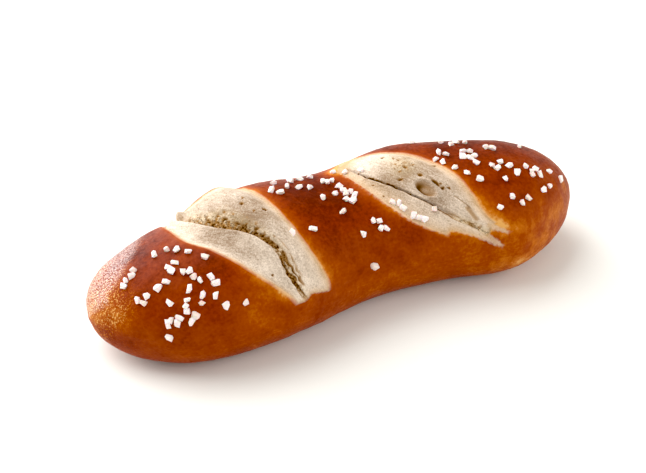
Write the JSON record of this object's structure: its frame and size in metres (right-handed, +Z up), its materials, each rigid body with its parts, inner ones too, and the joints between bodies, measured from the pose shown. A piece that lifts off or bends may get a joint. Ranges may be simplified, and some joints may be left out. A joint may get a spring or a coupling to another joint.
{
  "type": "pretzel stick",
  "caption": "Baked lye-dough stick with a shiny browned crust, slanting slashes torn open on pale crumb and coarse salt on top; lies on its flat underside.",
  "frame": {"origin": "centre of the bounding box on the surface the stick lies on, z = 0 at its flat underside", "axes": "+X along the stick, from the end with the steeper slash to the end with the longer one; +Z up; -Y is the side the slashes run down furthest"},
  "size_m": [0.19, 0.0644, 0.0479],
  "materials": {
    "crust": null,
    "salt": "coarse white pretzel salt, slightly see-through, angular grains"
  },
  "bodies": {
    "root": {"pretzel_stick": "crust"}
  },
  "joints": []
}
